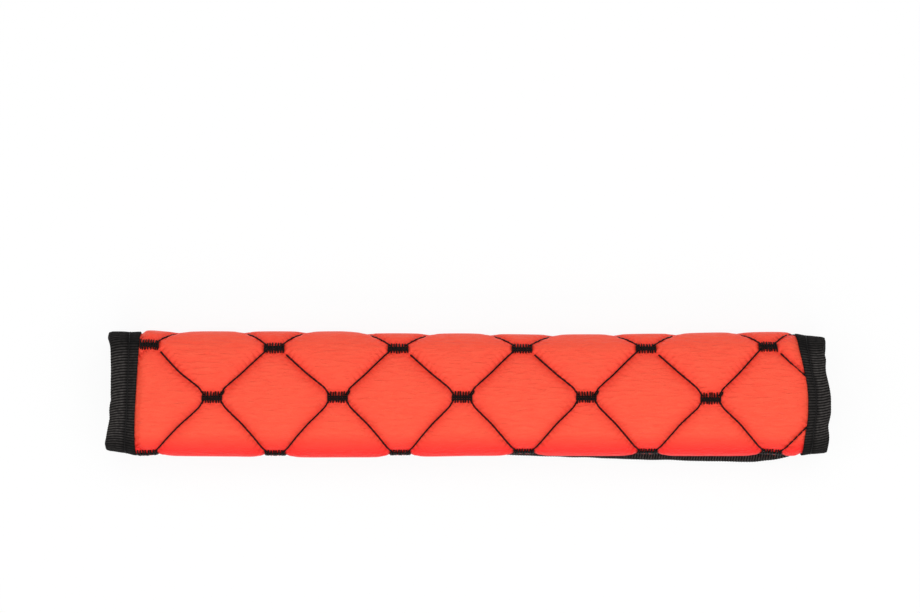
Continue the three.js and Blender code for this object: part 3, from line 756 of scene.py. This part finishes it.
# %% Tree: stitches along a path
def stitch_tree():
    tree, given = start_tree("stitches_along_path", [
        ("Stitch Length", "NodeSocketFloat"),
        ("Thread Radius", "NodeSocketFloat"),
        ("Dip", "NodeSocketFloat"),
        ("Thread", "NodeSocketMaterial"),
    ])
    length = given["Stitch Length"]
    curve = node(tree, "GeometryNodeMeshToCurve", {0: given["Geometry"]})
    spaced = node(tree, "GeometryNodeResampleCurve", {"Curve": curve, "Length": length}, mode="LENGTH")

    # One stitch: a bent line whose two ends go down into the cloth, with a round section.
    back, half = sums(tree, "MULTIPLY", length, -0.5), sums(tree, "MULTIPLY", length, 0.5)
    under = sums(tree, "MULTIPLY", given["Dip"], -1.0)
    start = node(tree, "ShaderNodeCombineXYZ", {"X": back, "Z": under})
    middle = node(tree, "ShaderNodeCombineXYZ", {"Z": given["Dip"]})
    end = node(tree, "ShaderNodeCombineXYZ", {"X": half, "Z": under})
    line = {"Resolution": 6, "Start": start, "Middle": middle, "End": end}
    stitch = thread_on(tree, given, node(tree, "GeometryNodeCurveQuadraticBezier", line), 6)

    # Turn it to the path, then upright on the leather.
    up = node(tree, "GeometryNodeInputNamedAttribute", {"Name": "up"}, data_type="FLOAT_VECTOR")
    tangent = {"Vector": node(tree, "GeometryNodeInputTangent")}
    along = node(tree, "FunctionNodeAlignRotationToVector", tangent, axis="X")
    outward = {"Rotation": along, "Vector": up.outputs["Attribute"]}
    upright = node(tree, "FunctionNodeAlignRotationToVector", outward, axis="Z", pivot_axis="X")
    places = {"Points": spaced, "Instance": stitch, "Rotation": upright}
    return end_tree(tree, given, node(tree, "GeometryNodeInstanceOnPoints", places))


STITCHES = stitch_tree()

# %% Paths on the leather
def place_and_up(x, s, t):
    low, high = wrap(x, s, t), wrap(x, s, np.asarray(t) + 1.0)
    return low, (high - low) / MM


def chains(flat_paths, t):
    points, ups, edges = [], [], []
    for path in flat_paths:
        path = np.asarray(path)
        place, up = place_and_up(path[:, 0], path[:, 1], t)
        edges += [(len(points) + i, len(points) + i + 1) for i in range(len(path) - 1)]
        points += list(place)
        ups += list(up)
    return points, edges, ups


def row_place(row):
    return row * (FRONT_ROW_STEP if row < 0 else BACK_ROW_STEP)


def inside_tape(x, s):
    return inside_outline(np.asarray(x, float), np.asarray(s, float), TAPE_WIDTH)

# %% [markdown]
# ## Quilting stitches
#
# One line of stitches bounces between two rows of tacks. Near a tack it turns a little steeper, as the real
# machine does when it comes round the corner. Four lines show outside: two on the roof, one round the big
# fold and one underneath. Past the last rows short ends run on to the tape and round the tight fold.

# %% Quilting lines
FIRST_ROW, LAST_ROW = -1, 3
QUILT_THREAD_RADIUS, QUILT_DIP, QUILT_LIFT = 0.39, 0.26, 0.32
LATE_START = 0.115  # a line from the back row to the middle row starts this share of its length late
TURN, TURN_SHARE = 0.35, 0.45  # how far a line swings out beside a tack, and over which share of it
STRAY = 0.16
TAPE_COVERS = 0.4  # the lines end this far from the tape
POINTS_ON_RUN, FEWEST_POINTS = 60, 13


def quilting_runs(row, rng):
    half_pitch = PITCH / 2
    low, high = row_place(row) + TACK_WIDTH / 2, row_place(row + 1) - TACK_WIDTH / 2
    for k in range(-7, 8):
        rising = (k + row) % 2 == 0
        leaves_middle = (row == 0) == rising
        from_s, to_s = (low, high) if rising else (high, low)
        f = np.linspace(LATE_START if row == 0 and not rising else 0.0, 1, POINTS_ON_RUN)
        from_middle = np.clip((f if leaves_middle else 1 - f) / TURN_SHARE, 0, 1)
        turn = (TURN if row <= 0 else 0) * np.sin(math.pi * np.sqrt(from_middle))
        turn = -turn if leaves_middle else turn
        wander = np.sin(2 * math.pi * (rng.uniform(3, 5) * f + rng.uniform()))
        stray = STRAY * wander * np.sin(math.pi * f)
        x = FIRST_TACK_X + k * half_pitch + TACK_LENGTH / 2 + (half_pitch - TACK_LENGTH) * f + turn + stray
        s = from_s + (to_s - from_s) * f - np.sign(to_s - from_s) * (turn - stray)
        drift_x, drift_s = sewing_drift(x, s)
        run = np.stack([x + drift_x, s + drift_s], axis=1)
        run = run[(inside_tape(*run.T) > TAPE_COVERS) & (run[:, 1] > TIGHT["start"])]
        if len(run) >= FEWEST_POINTS:
            yield run


def add_quilting():
    rng = np.random.default_rng(11)
    runs = [run for row in range(FIRST_ROW - 1, LAST_ROW + 1) for run in quilting_runs(row, rng)]
    points, edges, ups = chains(runs, STITCHED_T + QUILT_LIFT)
    values = {"Stitch Length": STITCH * MM, "Thread Radius": QUILT_THREAD_RADIUS * MM,
              "Dip": QUILT_DIP * MM, "Thread": THREAD}
    return grow("quilting_stitches", points, edges, STITCHES, values, {"up": ups})


quilting = add_quilting()
quilt_nodes = ["quilt_line_%d" % (i + 1) for i in range(LAST_ROW - FIRST_ROW)]
finish_piece(quilting, "black_thread", *quilt_nodes)

# %% [markdown]
# ## Bar tacks
#
# A bar tack is a dense block of thread: a few long strands are laid along it, and close cross stitches are
# sewn over them. The ends of the cross stitches stick out above and below like the teeth of a comb. Each
# strand is a path, and a second tree turns every path into round thread. The machine leaves a small tail of
# thread at the right of each tack of the middle row.

# %% Tree: thread along each path
def thread_tree():
    tree, given = start_tree("thread_along_path", [
        ("Thread Radius", "NodeSocketFloat"),
        ("Thread", "NodeSocketMaterial"),
    ])
    curve = node(tree, "GeometryNodeMeshToCurve", {0: given["Geometry"]})
    return end_tree(tree, given, thread_on(tree, given, curve, 7))


THREADS = thread_tree()

# %% Strands of the tacks
TACK_THREAD_RADIUS = 0.36
TACK_SPAN = TACK_LENGTH + 0.8  # the thread spreads past the needle holes
CROSS_STITCHES, CROSS_LENGTH, CROSS_RISE, CROSS_INSET = 8, 5.0, 0.9, 0.5
CORE_STRANDS, CORE_WIDTH, CORE_RISE = 3, 1.5, 0.62
CORE_SHIFT = -0.75  # the long strands lie in the front half of the block
LAST_DRIFT_X = 143  # the tacks at the ends drift as one piece


def tack_places():
    for row in range(FIRST_ROW, LAST_ROW + 1):
        for k in range(-3, 4):
            x = FIRST_TACK_X + (0 if row % 2 == 0 else PITCH / 2) + k * PITCH
            if HALF_LENGTH - TAPE_WIDTH - CLEARANCE - TACK_LENGTH / 2 - abs(x) > 0:
                inner_x = np.clip(x, -LAST_DRIFT_X, LAST_DRIFT_X)
                drift_x, drift_s = sewing_drift(inner_x, row_place(row))
                yield x + float(drift_x), row_place(row) + float(drift_s), row == 0


def tack_strands(x, s, tailed, rng):
    strands = []
    f = np.linspace(-1, 1, 9)
    for i in range(CROSS_STITCHES):
        across = x + (TACK_SPAN / 2 - CROSS_INSET) * (2 * i / (CROSS_STITCHES - 1) - 1)
        across += rng.uniform(-0.12, 0.12)
        lean, slip, longer = rng.uniform(-0.22, 0.22), rng.uniform(-0.2, 0.2), rng.uniform(0.94, 1.12)
        along = s + slip + f * longer * CROSS_LENGTH / 2
        strands.append((across + lean * f, along, STITCHED_T + CROSS_RISE * (1 - np.abs(f) ** 3)))
    core = s + CORE_SHIFT + rng.uniform(-0.1, 0.5)
    for i in range(CORE_STRANDS):
        along = core + CORE_WIDTH * (i / (CORE_STRANDS - 1) - 0.5) + rng.uniform(-0.1, 0.1)
        t = STITCHED_T + CORE_RISE + 0.2 * np.cos(f * 9 + i)
        strands.append((x + f * (TACK_SPAN / 2 - 0.1), along + 0 * f, t))
    if tailed:
        tail = 0.5 * (f + 1)
        corner_x, corner_s = x + TACK_SPAN / 2 - 0.5, s + CROSS_LENGTH / 2 - 1.4
        bent = STITCHED_T + 0.5 + 0.3 * np.sin(math.pi * tail)
        strands.append((corner_x + 1.3 * tail, corner_s + 2.0 * tail**2, bent))
    return strands


def add_tacks():
    rng = np.random.default_rng(7)
    points, edges = [], []
    for x, s, tailed in tack_places():
        for xs, ss, ts in tack_strands(x, s, tailed, rng):
            place = wrap(xs, ss, ts)
            edges += [(len(points) + i, len(points) + i + 1) for i in range(len(place) - 1)]
            points += list(place)
    values = {"Thread Radius": TACK_THREAD_RADIUS * MM, "Thread": THREAD}
    return grow("bar_tacks", points, edges, THREADS, values)


tacks = add_tacks()
tack_nodes = sorted(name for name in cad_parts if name.startswith("bar_tack_"))
finish_piece(tacks, "black_thread", *tack_nodes)

# %% [markdown]
# ## Edge tape
#
# The edge is bound with grosgrain: a woven tape with thick ribs across it, folded over the edge and sewn
# through. The ribs are real relief here, because they show against the light at the ends. The tape is a
# U-shaped section carried round the sheet's outline. Its seam draws it down in a shallow valley, and it
# gathers a little at the corners. An attribute, "rib", holds the painted highlight on each crest: lighter
# colour in place of the light the ribs catch. Painted shade dims it near the folds at the two ends, and in
# and past the seam.

# %% Black grosgrain
def grosgrain():
    material, m = new_material("black_grosgrain")
    flat = node(m, "ShaderNodeUVMap", uv_map="flat")
    lint = noise(m, flat, 3.0, 5.0, Roughness=0.65)
    weave = sums(m, "MULTIPLY_ADD", lint, 0.7, bands(m, flat, 0.55, 0.6, "Y"))
    # Painted highlight: the rib crests are painted lighter in place of the light they catch, and shine varies
    # it along each rib.
    crest_highlight = node(m, "ShaderNodeAttribute", attribute_name="rib").outputs["Fac"]
    shine = node(m, "ShaderNodeMapRange", {"Value": noise(m, flat, 0.55, 2.0), "From Min": 0.35,
                                           "From Max": 0.65, "To Min": 0.6, "To Max": 1.25})
    ribs = blend(m, sums(m, "MULTIPLY", crest_highlight, shine), (0.001, 0.001, 0.001, 1), (0.081, 0.074, 0.070, 1))
    worn = sums(m, "MULTIPLY", noise(m, flat, 0.12, 2.0), 0.25)
    dusty = blend(m, worn, ribs, (0.020, 0.018, 0.018, 1))
    surface(m, dusty, weave, 0.45, 0.12 * MM, {"Roughness": 0.75, "Specular IOR Level": 0.05})
    return material


TAPE = grosgrain()

# %% The sheet's outline, walked in equal steps
RIB_PITCH = 1.28
RIB_LAG = 1.2  # how far the ribs bend along the edge where the tape folds over it
STEPS_PER_RIB = 4


def outline_walk():
    step = RIB_PITCH / STEPS_PER_RIB
    end_x = HALF_LENGTH - CORNER_RADIUS
    low_s, high_s = INNER_EDGE_S + CORNER_RADIUS, OUTER_EDGE_S - CORNER_RADIUS
    runs = [
        ("turn", end_x, high_s, 0), ("line", (end_x, OUTER_EDGE_S), (-end_x, OUTER_EDGE_S), (0, -1)),
        ("turn", -end_x, high_s, 1), ("line", (-HALF_LENGTH, high_s), (-HALF_LENGTH, low_s), (1, 0)),
        ("turn", -end_x, low_s, 2), ("line", (-end_x, INNER_EDGE_S), (end_x, INNER_EDGE_S), (0, 1)),
        ("turn", end_x, low_s, 3), ("line", (HALF_LENGTH, low_s), (HALF_LENGTH, high_s), (-1, 0)),
    ]
    rows = []
    for run in runs:
        if run[0] == "turn":
            _, cx, cs, quarter = run
            count = round(CORNER_RADIUS * math.pi / 2 / step)
            angle = (quarter + np.arange(count) / count) * math.pi / 2
            c, d = np.cos(angle), np.sin(angle)
            rows.append(np.stack([cx + CORNER_RADIUS * c, cs + CORNER_RADIUS * d, -c, -d], axis=1))
        else:
            _, a, b, inward = run
            count = round(math.dist(a, b) / step)
            f = np.arange(count)[:, None] / count
            line = np.asarray(a) + (np.asarray(b) - np.asarray(a)) * f
            rows.append(np.hstack([line, np.tile(inward, (count, 1))]))
    return np.vstack(rows)


WALK = outline_walk()
STEP_LENGTHS = np.hypot(*np.diff(np.vstack([WALK, WALK[:1]])[:, :2], axis=0).T)
ALONG = np.concatenate([[0], np.cumsum(STEP_LENGTHS)[:-1]])
print("edge of the sheet:", round(float(STEP_LENGTHS.sum())), "mm,", len(WALK), "steps")

# %% The tape's section
SEAM_INSET = 8.2
TAPE_TOP = STITCHED_T + CLEARANCE + TAPE_THICKNESS
TAPE_BOTTOM = -CLEARANCE - TAPE_THICKNESS
TAPE_MIDDLE = (TAPE_TOP + TAPE_BOTTOM) / 2


# Each pair of the outer line: how far inwards from the sheet's edge, and the share of the tape's thickness.
def tape_section():
    outer = [(13.0, 0.45), (12.8, 0.9), (11.6, 0.92), (10.2, 0.78), (8.9, 0.7), (8.2, 0.6), (7.5, 0.72),
             (6.0, 0.92), (4.0, 1.0), (2.0, 1.0), (0.6, 0.96)]
    top = [(inward, TAPE_TOP - TAPE_THICKNESS * (1 - high)) for inward, high in outer]
    bottom = [(inward, TAPE_BOTTOM + TAPE_THICKNESS * (1 - high)) for inward, high in reversed(outer)]
    edge = [(-0.6, TAPE_TOP - 0.45), (-1.05, 2.3), (-1.1, 1.2), (-0.6, TAPE_BOTTOM + 0.45)]
    inside = [(12.8, TAPE_BOTTOM + TAPE_THICKNESS), (-0.2, TAPE_BOTTOM + TAPE_THICKNESS),
              (-0.2, TAPE_TOP - TAPE_THICKNESS), (12.8, TAPE_TOP - TAPE_THICKNESS)]
    return np.array(top + edge + bottom), np.array(inside)


OUTSIDE, INSIDE = tape_section()
print("tape section:", len(OUTSIDE) + len(INSIDE), "points")

# %% Carry the section round the edge
RIB_DEPTH, SEAM_RIB_DEPTH, EDGE_RIB_DEPTH = 0.22, 0.12, 0.16
LOOSE_PART = 7  # this near the edge the tape puffs, and its ribs bend along the edge
# Painted shade: the crests' painted highlight is dimmed in the seam and in the tape past it.
BRIGHT_IN_SEAM, BRIGHT_BEYOND_SEAM = 0.4, 0.55
CREST_SHARPNESS = 2.2
INSIDE_UV = 60.0  # keeps the hidden side's place in the map clear of the outer side's
FOLD_SHADE_SHARE, FOLD_SHADE_FROM, FOLD_SHADE_FULL = 0.55, 17, 25  # how much of the crest's painted highlight painted shade takes away near the folds


def slow_wave(along, seed, count):
    rng = np.random.default_rng(seed)
    total = STEP_LENGTHS.sum()
    wave = np.zeros_like(along)
    for k in rng.integers(8, 90, count):
        wave += rng.uniform(0.3, 1.0) * np.sin(2 * math.pi * k * along / total + rng.uniform(0, 7))
    return wave / count


def tape_line(inward, t, outside, wander, puff):
    x, s, nx, ns = WALK.T
    rib = 0.5 - 0.5 * np.cos(2 * math.pi * ALONG / RIB_PITCH)
    side = np.sign(t - TAPE_MIDDLE) if abs(t - TAPE_MIDDLE) > 1 else 0
    beyond_seam = inward > SEAM_INSET + 0.5
    lift, out = np.zeros_like(x), np.zeros_like(x)
    if outside:
        depth = SEAM_RIB_DEPTH if beyond_seam else RIB_DEPTH
        lift = side * (depth * (rib - 1) + 0.5 * puff * (inward < LOOSE_PART))
        out = EDGE_RIB_DEPTH * rib * (inward < 0)
    reach = inward - out + wander * (1 if inward < 12 else 0.5)
    lag = RIB_LAG * max(0.0, (LOOSE_PART - inward) / (LOOSE_PART + 1)) ** 2
    height = np.clip(t + lift, TAPE_BOTTOM, TAPE_TOP)
    place = wrap(x + nx * reach + ns * lag, s + ns * reach - nx * lag, height)
    in_seam = abs(inward - SEAM_INSET) < 0.8
    bright = BRIGHT_IN_SEAM if in_seam else BRIGHT_BEYOND_SEAM if beyond_seam else 1.0
    # Painted highlight on each rib crest, dimmed by painted shade near the folds at the two ends and in and
    # past the seam.
    near_folds = ramp(np.abs(s - 1), FOLD_SHADE_FROM, FOLD_SHADE_FULL) * (np.abs(x) > HALF_LENGTH - 1)
    return place, rib**CREST_SHARPNESS * (1 - FOLD_SHADE_SHARE * near_folds) * bright * outside


def add_binding():
    wander, puff = 0.5 * slow_wave(ALONG, 3, 14), 0.35 * slow_wave(ALONG, 4, 18)
    section = np.vstack([OUTSIDE, INSIDE])
    across = INSIDE_UV + np.arange(len(section))
    across[:len(OUTSIDE)] = [0, *np.cumsum(np.hypot(*np.diff(OUTSIDE, axis=0).T))]
    rings, crest_highlights = [], []
    for index, (inward, t) in enumerate(section):
        place, crest_highlight = tape_line(inward, t, index < len(OUTSIDE), wander, puff)
        rings.append(place)
        crest_highlights.append(crest_highlight)
    rings, crest_highlights = np.stack(rings, axis=1), np.stack(crest_highlights, axis=1)
    flats = np.stack(np.meshgrid(ALONG, across, indexing="ij"), axis=-1)
    number = np.arange(crest_highlights.size).reshape(crest_highlights.shape)
    step, turn = np.roll(number, -1, axis=0), np.roll(number, -1, axis=1)
    corners = (number, turn, np.roll(turn, -1, axis=0), step)
    faces = np.stack([corner.ravel() for corner in corners], axis=1).tolist()
    tape = make_object("edge_tape", rings.reshape(-1, 3), faces, TAPE, flats.reshape(-1, 2))
    layer = tape.data.attributes.new("rib", "FLOAT", "POINT")
    layer.data.foreach_set("value", crest_highlights.ravel().astype(np.float32))
    return tape


tape = add_binding()
finish_piece(tape, "black_tape", "edge_binding")

# %% Stitches along the tape
TAPE_STITCH, TAPE_THREAD_RADIUS, TAPE_DIP = 3.2, 0.2, 0.14
SINKS_ABOVE, SINKS_BELOW = 0.30, 0.40  # how deep the thread lies in the tape's two sides


def add_tape_seam():
    x, s, nx, ns = WALK[::STEPS_PER_RIB].T
    inset = SEAM_INSET + 0.5 * slow_wave(ALONG, 3, 14)[::STEPS_PER_RIB]
    path = np.stack([x + nx * inset, s + ns * inset], axis=1)
    path = np.vstack([path, path[:1]])
    points, edges, ups = chains([path], TAPE_TOP - SINKS_ABOVE)
    low_points, low_edges, low_ups = chains([path], TAPE_BOTTOM + SINKS_BELOW)
    edges += [(a + len(points), b + len(points)) for a, b in low_edges]
    points += low_points
    ups += [-u for u in low_ups]
    values = {"Stitch Length": TAPE_STITCH * MM, "Thread Radius": TAPE_THREAD_RADIUS * MM,
              "Dip": TAPE_DIP * MM, "Thread": TAPE_THREAD}
    return grow("tape_seam", points, edges, STITCHES, values, {"up": ups})


tape_seam = add_tape_seam()
finish_piece(tape_seam, "black_thread")

# %% [markdown]
# ## Lining
#
# The belt side is a plain black woven polyester. It is smooth, with soft waves where the quilting pulls it
# from the other side. A Wave texture each way makes the weave.

# %% Black lining cloth
def lining_cloth():
    material, m = new_material("black_lining_cloth")
    flat = node(m, "ShaderNodeUVMap", uv_map="flat")
    weave = sums(m, "MULTIPLY", bands(m, flat, 0.9, 0.4, "X"), bands(m, flat, 0.9, 0.4, "Y"))
    tone = blend(m, noise(m, flat, 0.5, 4.0), (0.010, 0.010, 0.011, 1), (0.030, 0.029, 0.031, 1))
    finish = {"Roughness": 0.85, "Specular IOR Level": 0.25, "Sheen Weight": 0.2}
    surface(m, tone, weave, 0.5, 0.08 * MM, finish)
    return material


LINING_CLOTH = lining_cloth()

# %% The lining sheet
DENT, DENT_REACH = 0.28, 3.0  # how deep the quilting pulls the lining in, and how far round a stitch
LINING_LIFT = 0.05


def add_lining():
    xs, ss = np.append(XS[:-1:2], XS[-1]), np.append(SS[:-1:2], SS[-1])
    x, s = np.meshgrid(xs, ss, indexing="ij")
    number = np.arange(x.size).reshape(x.shape)
    corners = (number[:-1, :-1], number[1:, :-1], number[1:, 1:], number[:-1, 1:])
    faces = np.stack([corner.ravel() for corner in corners], axis=1)
    kept = inside_outline(x, s, 0.0).ravel() >= -0.01
    faces = [tuple(int(v) for v in face) for face in faces if kept[face].all()]
    dent = DENT * np.exp(-inside_diamond(x, s) / DENT_REACH) * (inside_tape(x, s) > 0)
    upper, lower = wrap(x, s, LINING), wrap(x, s, LINING_LIFT + dent)
    return closed_sheet("black_lining", upper, lower, faces, LINING_CLOTH, np.stack([x, s], axis=-1))


lining = add_lining()
finish_piece(lining, "black_lining", "inner_lining")

# %% [markdown]
# ## Hook and loop strips
#
# The two strips keep their solids from the CAD model. The hook side is a field of tiny stiff loops and the
# other side is a soft brushed pile, so each gets its own relief.

# %% Hook and loop finish
def strip_finish(name, scale, depth, rough):
    material, m = new_material(name)
    place = node(m, "ShaderNodeTexCoord").outputs["Object"]
    cells = node(m, "ShaderNodeTexVoronoi", {"Vector": place, "Scale": scale, "Randomness": 0.6})
    pile = sums(m, "ADD", cells.outputs["Distance"], noise(m, place, scale * 1.7, 5.0))
    tone = blend(m, pile, (0.006, 0.006, 0.007, 1), (0.03, 0.03, 0.032, 1))
    surface(m, tone, pile, 0.9, depth, {"Roughness": rough, "Sheen Weight": 0.4})
    return material


for name, finish in (("hook_strip", strip_finish("hook_tape", 900.0, 0.0004, 0.6)),
                     ("loop_strip", strip_finish("loop_tape", 1400.0, 0.0003, 0.95))):
    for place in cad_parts[name].material_slots:
        place.material = finish
    print(name, "has its pile")
